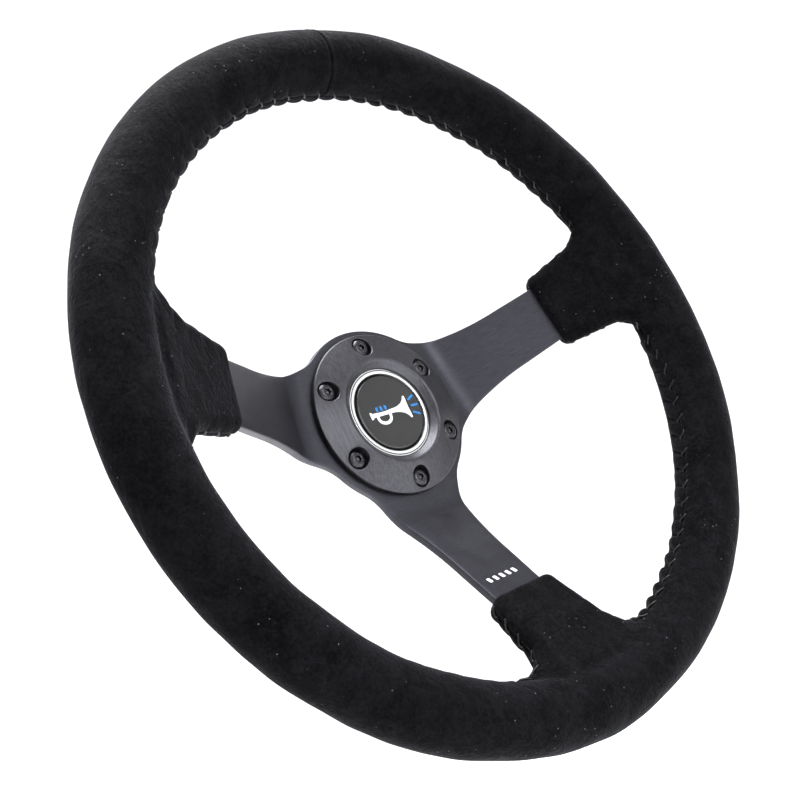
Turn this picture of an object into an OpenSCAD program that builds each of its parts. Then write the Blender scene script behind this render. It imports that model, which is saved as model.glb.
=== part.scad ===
// Three-spoke deep-dish steering wheel with a sprung horn button.
// The driver sits at -Y and the column lies at +Y. +Z is twelve o'clock.
// Origin: centre of the six-screw circle, on the rear (mounting) face of the spoke plate.

/* [Rim] */
// Outside diameter of the rim, over the suede
rim_d = 350; // [346:1:354]
// Thickness of the rim's round section, over the suede
grip_d = 31.5; // [30.5:0.1:32.5]
// Thickness of the suede cover
cover_t = 1.2; // [1.0:0.1:1.3]
// Diameter of the steel hoop inside the rim
hoop_d = 14; // [13.8:0.1:14.6]
// Distance from the mounting face forward to the middle of the rim
dish = 60.4; // [59:0.2:62]
// Pitch of the lacing along the inside of the rim
stitch_pitch = 10; // [8:0.5:12]

/* [Spoke plate] */
// Thickness of the pressed aluminium plate
plate_t = 4; // [3.8:0.1:4.2]
// Diameter of the flat hub disc
hub_d = 91; // [90:0.5:92]
// Diameter of the hole through the hub disc
hub_bore_d = 52; // [52:0.1:53]
// How far the two side spokes rise above horizontal
spoke_rise = 11.5; // [10:0.5:13]
// Distance from the wheel's centre at which each spoke starts to bend forward
bend_start = 45.5; // [45:0.5:47]
// Radius of the bend on its driver side
bend_r = 18; // [16:0.5:20]
// Angle through which each spoke is bent forward
bend_angle = 32.6; // [32:0.2:33.2]
// Half the width of a spoke at its narrow outer end
spoke_half_w = 14.2; // [13.5:0.1:15]
// Half the width of a spoke where its concave flanks are tightest
waist_half_w = 16; // [15.5:0.1:17]
// Radius of the long concave flanks of a spoke
flank_r = 110; // [105:1:115]
// Radius of the fillets where a spoke meets the hub disc
hub_fillet_r = 25; // [22:1:26]

/* [Spoke boots] */
// Distance from the wheel's centre to the edge of the suede on each spoke
boot_s = 103; // [101:0.5:105]
// Half the width of the suede boot at its edge
boot_half_w = 20; // [19:0.5:21]
// Half the width of the suede boot where it starts to flare into the rim
boot_flare_w = 23; // [22:0.5:24]
// How far the boot stands proud of the front and the back of the spoke
boot_proud = 4.6; // [4.2:0.1:5]
// Radius of the flare from the boot into the rim
flare_r = 14; // [12:0.5:15]

/* [Hub screws] */
// Diameter of the circle that the six screws stand on
bolt_pcd = 70; // [69.5:0.5:70.5]
// Number of screws
bolt_n = 6; // [6]
// Thread diameter of the screws
screw_d = 5; // [4.8:0.1:5]
// Length of the screws under the head
screw_len = 16; // [12:1:20]
// Diameter of the domed head
head_d = 9.5; // [9:0.1:9.6]
// Height of the domed head
head_h = 2.75; // [2.6:0.05:2.8]
// Width across the flats of the hexagon socket
hex_af = 3; // [2.5:0.1:3.2]
// Diameter of the clearance holes for the screws
clear_d = 5.5; // [5.3:0.1:5.6]

/* [Horn ring] */
// Outside diameter of the machined ring
ring_d = 84; // [83:0.5:85]
// Height of the ring's crest above the mounting face
ring_crest = 11; // [10.8:0.1:11.2]
// Radius of the crest line from the centre
crest_r = 27.3; // [27:0.1:27.6]
// Bore of the ring in which the horn button sits
ring_bore_d = 46.4; // [46.4:0.05:46.6]
// Diameter of the counterbores for the screw heads
cbore_d = 10.4; // [10.2:0.1:10.6]
// Height of the counterbore floors above the mounting face
cbore_floor = 5.6; // [5.4:0.1:5.7]

/* [Horn button] */
// Outside diameter of the chrome trim ring and of the button's housing
trim_d = 45.6; // [45.4:0.05:45.7]
// Inside diameter of the chrome trim ring
trim_in_d = 39.5; // [39.4:0.05:39.6]
// Diameter of the moving cap
cap_d = 38.8; // [38.6:0.05:38.9]
// Height of the middle of the domed face above the mounting face
dome_top = 8.7; // [8.5:0.05:8.9]
// How far the button travels when it is pressed
travel = 2; // [1.6:0.1:2]
// Wire diameter of the return spring
spring_wire = 1.0; // [0.8:0.1:1.1]
// Number of turns of the return spring
spring_turns = 4; // [3:0.5:4.5]

/* [Hidden] */
$fn = 96;

rim_r = rim_d / 2;
grip_r = grip_d / 2;
ring_mid = rim_r - grip_r;              // radius of the rim's centre line
rim_in = rim_r - grip_d;                // innermost radius of the rim
hub_r = hub_d / 2;
spoke_dirs = [spoke_rise, 180 - spoke_rise, 270];
spoke_tip = 157;                        // the spokes end at the hoop
boot_tip = 150;                         // the boots end inside the rim
flank_s = 85;                           // where the flanks are tightest
flank_c = [flank_s, waist_half_w + flank_r];
boot_mid_w = boot_flare_w + flare_r;
flare_s = sqrt(pow(rim_in - flare_r, 2) - pow(boot_mid_w, 2));
base_front = -3;                        // heights inside the horn button
base_rear = -5;
cap_rear = 3.7;
contact_rear = 3.2;
contact_gap = 0.1;
fixed_top = contact_rear - travel - contact_gap;
cavity_r = 20.9;
spring_mean_r = 8.7;
spring_low = base_front + 0.5;
spring_high = cap_rear + 1.5;

function arc(c, r, a0, a1, n) =
    [for (k = [0:n]) let (a = a0 + (a1 - a0) * k / n) [c[0] + r * cos(a), c[1] + r * sin(a)]];
// Point where two circles cross, on the outer side
function cross_pt(r0, c, r1) =
    let (d = norm(c), a = (r0 * r0 - r1 * r1 + d * d) / (2 * d), h = sqrt(r0 * r0 - a * a),
         u = c / d) [u[0] * a + u[1] * h, u[1] * a - u[0] * h];

// Turns a profile of (radius, height towards the driver) about the wheel's axis
module turned(pts) { rotate([90, 0, 0]) rotate_extrude($fn = 128) polygon(pts); }
// Round bar along the wheel's axis between two heights
module bar(r, h0, h1, fn = 96) { rotate([90, 0, 0]) translate([0, 0, h0]) cylinder(r = r, h = h1 - h0, $fn = fn); }
// Repeats something at each screw
module at_screws() { for (k = [0:bolt_n - 1]) rotate([0, 90 + k * 360 / bolt_n, 0]) translate([bolt_pcd / 2, 0, 0]) children(); }
// Repeats something along each spoke: local +X runs outwards, +Z across, +Y to the back
module at_spokes() { for (d = spoke_dirs) rotate([0, -d, 0]) children(); }
// Outline across the spoke, as seen by the driver, made into a prism
module plan(pts) { translate([0, 40, 0]) rotate([90, 0, 0]) linear_extrude(height = 160) polygon(pts); }
module plan_hole(c, r) { translate([c[0], 40, c[1]]) rotate([90, 0, 0]) cylinder(r = r, h = 160, $fn = 180); }
module rim_ring(r) { translate([0, -dish, 0]) rotate([90, 0, 0]) rotate_extrude($fn = 200) translate([ring_mid, 0]) circle(r = r, $fn = 72); }

// ---- spoke plate -------------------------------------------------------
// A slab along the sloping part of a spoke, f thicker in front and behind
module slope(f, len) {
    translate([bend_start, -plate_t - bend_r, 0]) rotate([0, 0, -bend_angle])
        translate([0, bend_r - f, -60]) cube([len, plate_t + 2 * f, 120]);
}
// A spoke's side view: flat, then round the bend, then straight to the hoop.
// The pressing thins the spokes, so each face lies a hair below the hub disc's
thin = 0.03;
module spoke_side() {
    c = [bend_start, -plate_t - bend_r];
    out = 140 * [cos(bend_angle), -sin(bend_angle)];
    front = arc(c, bend_r + thin, 90, 90 - bend_angle, 16);
    back = arc(c, bend_r + plate_t - thin, 90 - bend_angle, 90, 16);
    translate([0, 0, -60]) linear_extrude(height = 120) polygon(concat(
        [[20, -thin], [20, -plate_t + thin]], front, [front[16] + out, back[0] + out], back));
}
// A spoke's outline, with fillets between the hub disc and its concave flanks
module spoke_plan() {
    // The circles cross by 0.05 mm, so that each joint between them is a clean corner
    c = cross_pt(hub_r + hub_fillet_r - 0.05, flank_c, flank_r - hub_fillet_r + 0.05);
    t1 = 0.93 * c * hub_r / (hub_r + hub_fillet_r);
    difference() {
        plan([[29.3, -t1[1]], [t1[0], -t1[1]], [c[0], -c[1]], [c[0] + 2, -34], [flank_s, -34],
              [flank_s, -waist_half_w - 0.03], [spoke_tip, -spoke_half_w], [spoke_tip, spoke_half_w],
              [flank_s, waist_half_w + 0.03], [flank_s, 34], [c[0] + 2, 34], c, t1, [29.3, t1[1]]]);
        for (m = [-1, 1]) {
            plan_hole([flank_c[0], m * flank_c[1]], flank_r);
            plan_hole([c[0], m * c[1]], hub_fillet_r);
        }
    }
}
module spoke_bodies() {
    difference() {
        union() {
            bar(hub_r, 0, plate_t, 180);
            at_spokes() intersection() { spoke_side(); spoke_plan(); }
        }
        rim_ring(hoop_d / 2);
    }
}
module spoke_plate() {
    color([0.20, 0.20, 0.23]) difference() {
        spoke_bodies();
        bar(hub_bore_d / 2, -1, plate_t + 1, 128);
        at_screws() bar(clear_d / 2, -1, plate_t + 1, 48);
    }
}

// ---- rim ---------------------------------------------------------------
module rim_hoop() { color([0.45, 0.45, 0.47]) rim_ring(hoop_d / 2); }

function boot_side(i) = concat(
    arc([boot_s + 5, boot_half_w - 5], 5 - i, 180, 90, 4),
    arc([flare_s, boot_mid_w], flare_r + i, -90, atan2(boot_mid_w, flare_s), 8),
    [[boot_tip, boot_mid_w * rim_in / (rim_in - flare_r) - i]]);
function flip(p) = [for (k = [len(p) - 1:-1:0]) [p[k][0], -p[k][1]]];
module boot(i) {
    intersection() {
        slope(boot_proud - i, 140);
        plan(concat(boot_side(i), flip(boot_side(i))));
    }
}
module grip_solid(i) {
    union() {
        rim_ring(grip_r - i);
        at_spokes() boot(i);
    }
}
module rim_foam() {
    color([0.16, 0.16, 0.16]) difference() {
        rim_ring(grip_r - cover_t);
        rim_ring(hoop_d / 2);
        spoke_bodies();
    }
}
// Padding round each spoke, between the rim's foam and the suede boot
module boot_pads() {
    color([0.18, 0.18, 0.18]) difference() {
        at_spokes() boot(cover_t);
        rim_ring(grip_r - cover_t);
        spoke_bodies();
    }
}
module suede_cover() {
    color([0.10, 0.10, 0.11]) difference() {
        grip_solid(0);
        grip_solid(cover_t);
        spoke_bodies();
    }
}
// Lacing thread: short slanting runs across the seam on the inside of the rim
stitch_r = 0.5;
stitch_arcs = [for (k = [0:2]) let (a = spoke_dirs[(k + 2) % 3] - (k == 0 ? 360 : 0), b = spoke_dirs[k])
    [a + 19, b - 19]];
module seam_thread() {
    color([0.05, 0.05, 0.05]) for (s = stitch_arcs)
        let (n = floor((s[1] - s[0]) * PI / 180 * rim_in / stitch_pitch))
            for (k = [0:n]) rotate([0, -(s[0] + (s[1] - s[0]) * k / n), 0])
                translate([rim_in - stitch_r - 0.06, -dish - 0.8, 0]) rotate([35, 0, 0])
                    stitch();
    color([0.05, 0.05, 0.05]) at_spokes() for (m = [-1, 1]) for (k = [0:2])
        let (s = boot_s + 7 + 6 * k, w = boot_half_w + (s - boot_s) * tan(side_a) + stitch_r + 0.1)
            translate([s, -plate_t / 2 - (s - bend_start) * tan(bend_angle) + slab_y, m * w])
                rotate([0, -m * side_a, 0]) rotate([0, 0, 35 - bend_angle]) rotate([0, 90, 0])
                    stitch();
}
module stitch() { translate([0, 0, -2.3]) cylinder(r = stitch_r, h = 4.6, $fn = 24); }
// Slope of the boots' sides, and the bent spoke's middle plane
side_a = atan((boot_flare_w - boot_half_w) / (flare_s - boot_s));
slab_y = -plate_t / 2 - bend_r + (bend_r + plate_t / 2) / cos(bend_angle);

// ---- horn ring and its screws -------------------------------------------
cone = 15.9;                            // fall of the ring's front face, degrees
dish_a = 43;                            // rise of its inner face, degrees
crest_c = [crest_r, ring_crest - 2.2];
ring_r = ring_d / 2;
bore_r = ring_bore_d / 2;
function cone_h(r) = crest_c[1] + 2.2 * cos(cone) - (r - crest_c[0] - 2.2 * sin(cone)) * tan(cone);
module horn_ring() {
    d0 = crest_c + 2.2 * [cos(90 + dish_a), sin(90 + dish_a)];
    edge = cone_h(ring_r - 0.8) - 0.8;
    color([0.22, 0.22, 0.24]) difference() {
        turned(concat(
            [[hub_bore_d / 2 - 0.1, plate_t], [hub_bore_d / 2 - 0.1, 1.5], [hub_bore_d / 2 - 0.4, 1.2],
             [bore_r - 1, 1.2], [bore_r - 1, 2.2], [bore_r, 2.2]],
            [[bore_r, d0[1] - (d0[0] - bore_r - 0.2) * tan(dish_a) - 0.2],
             [bore_r + 0.2, d0[1] - (d0[0] - bore_r - 0.2) * tan(dish_a)]],
            arc(crest_c, 2.2, 90 + dish_a, 90 - cone, 8),
            arc([ring_r - 0.8, edge], 0.8, 90 - cone, 0, 4),
            [[ring_r, plate_t + 0.5], [ring_r - 0.5, plate_t]]));
        at_screws() {
            bar(cbore_d / 2, cbore_floor, 20, 64);
            bar(clear_d / 2, 0, 20, 48);
        }
    }
}
module ring_screw() {
    difference() {
        union() {
            rotate([90, 0, 0]) translate([0, 0, cbore_floor]) rotate_extrude($fn = 64)
                polygon(concat([[0, 0], [head_d / 2, 0]],
                    [for (a = [0:15:90]) [2.35 + (head_d / 2 - 2.35) * cos(a), 0.35 + (head_h - 0.35) * sin(a)]],
                    [[0, head_h]]));
            rotate([90, 0, 0]) translate([0, 0, cbore_floor - screw_len]) rotate_extrude($fn = 64)
                // The thread ends at the mounting face; inside the hub the shank is plain and thinner
                polygon([[0, 0], [screw_d / 2 - 0.6, 0], [screw_d / 2, 0.6], [screw_d / 2, screw_len - cbore_floor],
                         [screw_d / 2 - 0.4, screw_len - cbore_floor], [screw_d / 2 - 0.4, screw_len + 0.2], [0, screw_len + 0.2]]);
        }
        rotate([90, 0, 0]) translate([0, 0, cbore_floor + head_h - 1.6]) cylinder(r = hex_af / 2 / cos(30), h = 3, $fn = 6);
    }
}
module ring_screws() { color([0.12, 0.12, 0.12]) at_screws() ring_screw(); }

// ---- horn button, fixed pieces --------------------------------------------
trim_r = trim_d / 2;
trim_in_r = trim_in_d / 2;
module button_housing() {
    color([0.07, 0.07, 0.07]) turned([
        [trim_r, 6], [trim_in_r, 6], [trim_in_r, 4.8], [cavity_r, 4.8], [cavity_r, base_rear - 0.05],
        [cavity_r + 0.5, base_rear - 0.05], [cavity_r + 0.5, base_rear - 1.05], [cavity_r, base_rear - 1.05],
        [cavity_r, -7], [bore_r - 1.2, -7], [bore_r - 1.2, 2.25], [trim_r, 2.25], [trim_r, 3.2],
        [trim_r - 0.8, 3.2], [trim_r - 0.8, 4.6], [trim_r, 4.6]]);
}
module trim_ring() {
    color([0.9, 0.9, 0.92]) turned(concat(
        [[trim_in_r, 6], [trim_r, 6]],
        arc([trim_r - 0.5, 7.0], 0.5, 0, 80, 4),
        [[trim_r - 0.75, 7.52], [trim_r - 0.8, 7.3], [trim_r - 0.95, 7.3], [trim_r - 1.0, 7.55]],
        arc([trim_in_r + 0.6, 7.0], 0.6, 80, 180, 5)));
}
module housing_o_ring() {
    color([0.04, 0.04, 0.04]) translate([0, -3.9, 0]) rotate([90, 0, 0]) rotate_extrude($fn = 128)
        translate([trim_r - 0.2, 0]) circle(r = 0.56, $fn = 32);
}
module base_insulator() {
    color([0.35, 0.16, 0.08]) difference() {
        turned([[0, base_rear], [cavity_r - 0.1, base_rear], [cavity_r - 0.1, base_front], [15.8, base_front],
                [15.8, fixed_top - 0.5], [11.6, fixed_top - 0.5], [11.6, base_front], [0, base_front]]);
        translate([0, 0, 13.7]) bar(1.22, -20, 20, 32);
        translate([0, 0, -5]) bar(1.22, -20, 20, 32);
    }
}
module fixed_contact() {
    color([0.80, 0.62, 0.28]) difference() {
        turned([[12, fixed_top - 0.5], [15.4, fixed_top - 0.5], [15.4, fixed_top], [12, fixed_top]]);
        translate([0, 0, 13.7]) bar(1.22, -20, 20, 32);
    }
}
module spring_seat() {
    color([0.70, 0.70, 0.72]) difference() {
        turned([[1.5, base_front], [10.2, base_front], [10.2, spring_low], [1.5, spring_low]]);
        translate([0, 0, -5]) bar(1.22, -20, 20, 32);
    }
}
module base_circlip() {
    color([0.5, 0.5, 0.52]) difference() {
        turned([[19.4, base_rear - 0.95], [cavity_r + 0.4, base_rear - 0.95], [cavity_r + 0.4, base_rear - 0.1], [19.4, base_rear - 0.1]]);
        rotate([90, 0, 0]) translate([0, 0, -20]) linear_extrude(height = 40) polygon([[0, 0], [30, -9], [30, 9]]);
    }
}
// Blade terminal: a riveted foot and a flat tab, z0 is the tab's edge and dir its way along the foot
module blade(rivet_z, tab_z) {
    difference() {
        union() {
            translate([-3.15, -base_rear, min(tab_z, rivet_z - 2.6)]) cube([6.3, 0.8, abs(rivet_z - tab_z) + 2.6]);
            translate([-3.15, -base_rear, tab_z]) cube([6.3, 8.6, 0.8]);
        }
        translate([0, 0, rivet_z]) bar(1.22, -20, 20, 32);
        translate([0, -base_rear + 6, tab_z - 1]) cylinder(r = 0.9, h = 3, $fn = 32);
    }
}
module live_terminal() { color([0.85, 0.70, 0.35]) blade(13.7, 9.6); }
module earth_terminal() { color([0.85, 0.70, 0.35]) blade(-5, -9.1); }
module rivet(h1, head_front) {
    bar(1.2, base_rear - 0.8, h1, 32);
    rotate([90, 0, 0]) translate([0, 0, base_rear - 1.5]) rotate_extrude($fn = 32) polygon([[0, 0], [1.5, 0], [2.1, 0.4], [2.1, 0.7], [0, 0.7]]);
    if (head_front) rotate([90, 0, 0]) translate([0, 0, h1]) rotate_extrude($fn = 32) polygon([[0, 0], [2.1, 0], [2.1, 0.3], [1.5, 0.7], [0, 0.7]]);
}
module terminal_rivets() {
    color([0.75, 0.75, 0.77]) {
        translate([0, 0, 13.7]) rivet(fixed_top - 0.02, false);
        translate([0, 0, -5]) rivet(spring_low, true);
    }
}

// ---- horn button, moving pieces -------------------------------------------
cap_r = cap_d / 2;
module at_contact_screws() { for (k = [0:2]) rotate([0, 30 + k * 120, 0]) translate([17.2, 0, 0]) children(); }
module button_cap() {
    color([0.05, 0.05, 0.05]) difference() {
        turned([[0, spring_high], [spring_mean_r + 1.3, spring_high], [spring_mean_r + 1.3, cap_rear],
                [cavity_r - 0.3, cap_rear], [cavity_r - 0.3, 4.7], [cap_r, 4.7], [cap_r, 7], [0, 7]]);
        at_contact_screws() bar(0.82, 0, 6.4, 24);
    }
}
module cap_dome() {
    rr = (pow(cap_r - 0.9, 2) + 0.36) / 1.2;
    a1 = asin((cap_r - 0.9) / rr);
    color([0.04, 0.04, 0.045]) turned(concat(
        [[0, 7], [cap_r - 0.05, 7]],
        arc([cap_r - 0.95, dome_top - 1.5], 0.9, 0, 84, 6),
        [for (k = [1:12]) let (a = a1 * (1 - k / 12)) [rr * sin(a), dome_top - rr + rr * cos(a)]]));
}
module moving_contact() {
    color([0.80, 0.62, 0.28]) difference() {
        turned([[10.6, contact_rear], [18.9, contact_rear], [18.9, cap_rear], [10.6, cap_rear]]);
        at_contact_screws() bar(0.85, 0, 6, 24);
    }
}
module contact_screws() {
    color([0.7, 0.7, 0.72]) at_contact_screws() difference() {
        union() {
            bar(0.8, contact_rear - 0.2, 6.2, 24);
            rotate([90, 0, 0]) translate([0, 0, contact_rear - 0.9]) rotate_extrude($fn = 32)
                polygon([[0, 0], [1.0, 0], [1.25, 0.3], [1.25, 0.9], [0, 0.9]]);
        }
        translate([-2, -contact_rear + 0.5, -0.2]) cube([4, 1, 0.4]);
    }
}
// Return spring, a coil about the wheel's axis
spring_ring = 20;                       // sections for each turn
module horn_spring() {
    n = round(spring_turns * spring_ring);
    w = spring_wire / 2;
    lo = spring_low + w + 0.02;
    hi = spring_high - w - 0.02;
    c = [for (k = [0:n]) let (a = 360 * k / spring_ring) [spring_mean_r * cos(a), -(lo + (hi - lo) * k / n), spring_mean_r * sin(a)]];
    pts = [for (k = [0:n]) let (a = 360 * k / spring_ring) for (j = [0:7]) let (b = 45 * j)
        c[k] + w * (cos(b) * [cos(a), 0, sin(a)] + sin(b) * [0, 1, 0])];
    color([0.72, 0.72, 0.74]) polyhedron(points = pts, convexity = 8, faces = concat(
        [[for (j = [0:7]) j]],
        [for (k = [0:n - 1]) for (j = [0:7]) let (a = k * 8 + j, b = k * 8 + (j + 1) % 8) [a, a + 8, b + 8, b]],
        [[for (j = [7:-1:0]) n * 8 + j]]));
}

spoke_plate();
rim_hoop();
rim_foam();
boot_pads();
suede_cover();
seam_thread();
horn_ring();
ring_screws();
button_housing();
trim_ring();
housing_o_ring();
button_cap();
cap_dome();
moving_contact();
contact_screws();
horn_spring();
fixed_contact();
spring_seat();
base_insulator();
base_circlip();
live_terminal();
earth_terminal();
terminal_rivets();
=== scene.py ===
import math

import bmesh
import bpy
import numpy as np
from mathutils import Matrix, Vector, kdtree
from mathutils.geometry import delaunay_2d_cdt


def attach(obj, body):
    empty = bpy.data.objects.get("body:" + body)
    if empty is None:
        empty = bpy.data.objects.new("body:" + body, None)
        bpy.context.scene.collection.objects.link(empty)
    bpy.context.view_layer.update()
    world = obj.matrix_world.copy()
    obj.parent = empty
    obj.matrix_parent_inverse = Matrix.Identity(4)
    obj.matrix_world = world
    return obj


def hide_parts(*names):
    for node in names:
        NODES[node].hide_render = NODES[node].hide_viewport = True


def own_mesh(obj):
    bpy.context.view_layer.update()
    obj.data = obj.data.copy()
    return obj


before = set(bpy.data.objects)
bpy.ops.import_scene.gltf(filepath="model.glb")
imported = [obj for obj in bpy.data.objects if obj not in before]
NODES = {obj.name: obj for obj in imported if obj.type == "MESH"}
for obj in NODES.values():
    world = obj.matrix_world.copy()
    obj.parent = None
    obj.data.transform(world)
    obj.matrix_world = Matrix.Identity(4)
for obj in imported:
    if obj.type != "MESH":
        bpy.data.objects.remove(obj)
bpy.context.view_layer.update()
MM = 0.001
PI = math.pi

# ------------------------------------------------------------------ sizes, mm
DISH = 60.4
RING_MID = 159.25
GRIP_R = 15.75
RIM_IN = RING_MID - GRIP_R
PLATE_T = 4.0
HUB_R = 45.5
BEND_S = 45.5
BEND_R = 18.0
BEND = math.radians(32.6)
SPOKES = [math.radians(a) for a in (11.5, 168.5, 270.0)]
BOOT_S = 103.0
FLANK = (85.0, 126.0, 110.0)
FILLET = 25.0
SCREWS = [math.radians(90 + 60 * k) for k in range(6)]


# ------------------------------------------------------------------ mesh tools
def link(ob):
    bpy.context.scene.collection.objects.link(ob)
    return ob


def make(name, verts, faces, mat, sharp=35, body="wheel", node=None, slot=None, fix=True, weld=0.0):
    """A piece from points in mm, in the row frame."""
    me = bpy.data.meshes.new(name)
    me.from_pydata((np.asarray(verts, float) * MM).tolist(), [], [list(map(int, f)) for f in faces])
    if weld or fix:
        bm = bmesh.new()
        bm.from_mesh(me)
        if weld:
            bmesh.ops.remove_doubles(bm, verts=bm.verts, dist=weld * MM)
            bmesh.ops.dissolve_degenerate(bm, edges=bm.edges, dist=weld * MM * 0.5)
        if fix:
            bmesh.ops.recalc_face_normals(bm, faces=bm.faces)
        bm.to_mesh(me)
        bm.free()
    me.polygons.foreach_set("use_smooth", np.ones(len(me.polygons), bool))
    me.set_sharp_from_angle(angle=math.radians(sharp))
    me.materials.append(mat)
    ob = link(bpy.data.objects.new(name, me))
    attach(ob, body)
    if node:
        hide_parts(*([node] if isinstance(node, str) else node))
    return ob


def soft_corner(pts, closed=True, seg=5):
    """A polyline whose corners (x, y, radius) are rounded."""
    out, n = [], len(pts)
    for i, p in enumerate(pts):
        r = p[2] if len(p) > 2 else 0
        if r <= 0 or (not closed and i in (0, n - 1)):
            out.append((p[0], p[1]))
            continue
        a = np.array(pts[i - 1][:2], float) - p[:2]
        b = np.array(pts[(i + 1) % n][:2], float) - p[:2]
        la, lb = np.linalg.norm(a), np.linalg.norm(b)
        a, b = a / la, b / lb
        ang = math.acos(max(-1, min(1, a @ b)))
        d = min(r / math.tan(ang / 2), 0.49 * la, 0.49 * lb)
        rr = d * math.tan(ang / 2)
        mid = (a + b) / np.linalg.norm(a + b)
        c = np.array(p[:2]) + mid * rr / math.sin(ang / 2)
        s, e = np.array(p[:2]) + a * d - c, np.array(p[:2]) + b * d - c
        t0, t1 = math.atan2(s[1], s[0]), math.atan2(e[1], e[0])
        while t1 - t0 > PI:
            t1 -= 2 * PI
        while t1 - t0 < -PI:
            t1 += 2 * PI
        for k in range(seg + 1):
            t = t0 + (t1 - t0) * k / seg
            out.append((c[0] + rr * math.cos(t), c[1] + rr * math.sin(t)))
    return out


def lathe(profile, n=160, axis_pts=True):
    """Turns a closed (radius, height) profile about the wheel's axis; height is towards the driver."""
    verts, rows, faces = [], [], []
    a = np.arange(n) * 2 * PI / n
    for r, h in profile:
        if r < 1e-6:
            rows.append([len(verts)] * n)
            verts.append((0, -h, 0))
        else:
            rows.append(list(range(len(verts), len(verts) + n)))
            verts += [(r * math.cos(t), -h, r * math.sin(t)) for t in a]
    m = len(rows)
    for i in range(m):
        p, q = rows[i], rows[(i + 1) % m]
        if p[0] == p[1] and q[0] == q[1]:
            continue
        for k in range(n):
            f = [p[k], p[(k + 1) % n], q[(k + 1) % n], q[k]]
            f = [v for j, v in enumerate(f) if v not in f[:j]]
            if len(f) > 2:
                faces.append(f)
    return np.array(verts, float), faces


def moved(vf, at=(0, 0, 0), rot=None, turn=0.0):
    """Places (verts, faces): an optional rotation, then a move, then a turn about the wheel's axis."""
    v = np.asarray(vf[0], float)
    if rot is not None:
        v = v @ np.array(rot).T
    v = v + np.array(at, float)
    c, s = math.cos(turn), math.sin(turn)
    v = np.stack([v[:, 0] * c - v[:, 2] * s, v[:, 1], v[:, 0] * s + v[:, 2] * c], 1)
    return v, vf[1]


def join(parts):
    verts, faces, base = [], [], 0
    for v, f in parts:
        verts.append(np.asarray(v, float))
        faces += [[i + base for i in x] for x in f]
        base += len(v)
    return np.concatenate(verts), faces


def fill(outer, holes, extra):
    """Triangles over a flat region: outer and hole loops (n,2), with extra points inside."""
    loops = [np.asarray(outer, float)] + [np.asarray(h, float) for h in holes]
    pts, edges = [], []
    for lp in loops:
        b = len(pts)
        pts += [Vector(p) for p in lp]
        edges += [(b + i, b + (i + 1) % len(lp)) for i in range(len(lp))]
    nb = len(pts)
    pts += [Vector(p) for p in extra]
    co, _, fa, ov, _, _ = delaunay_2d_cdt(pts, edges, [], 1, 1e-7, True)
    co = np.array([tuple(c) for c in co])
    cen = np.array([co[list(f)].mean(0) for f in fa])
    ok = inside(cen, loops[0])
    for h in loops[1:]:
        ok &= ~inside(cen, h)
    return co, [list(f) for f, k in zip(fa, ok) if k]


def inside(p, poly):
    x, y = p[:, 0], p[:, 1]
    a, b = poly, np.roll(poly, -1, 0)
    c = np.zeros(len(p), bool)
    for (x0, y0), (x1, y1) in zip(a, b):
        if y0 == y1:
            continue
        c ^= ((y0 > y) != (y1 > y)) & (x < (x1 - x0) * (y - y0) / (y1 - y0) + x0)
    return c


def normals2(loop):
    """Unit normals of a counterclockwise loop, pointing inwards."""
    d = np.roll(loop, -1, 0) - np.roll(loop, 1, 0)
    d /= np.linalg.norm(d, axis=1)[:, None]
    return np.stack([-d[:, 1], d[:, 0]], 1)


def bridge(a, b):
    """Quads between two index rows of the same length, closed."""
    n = len(a)
    return [[a[k], a[(k + 1) % n], b[(k + 1) % n], b[k]] for k in range(n)]


def circle(r, n, c=(0, 0), cw=False):
    t = np.arange(n) * 2 * PI / n
    if cw:
        t = -t
    return np.stack([c[0] + r * np.cos(t), c[1] + r * np.sin(t)], 1)


# ------------------------------------------------------------------ materials
def new_mat(name):
    m = bpy.data.materials.new(name)
    m.use_nodes = True
    nt = m.node_tree
    return m, nt, nt.nodes["Principled BSDF"]


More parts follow.
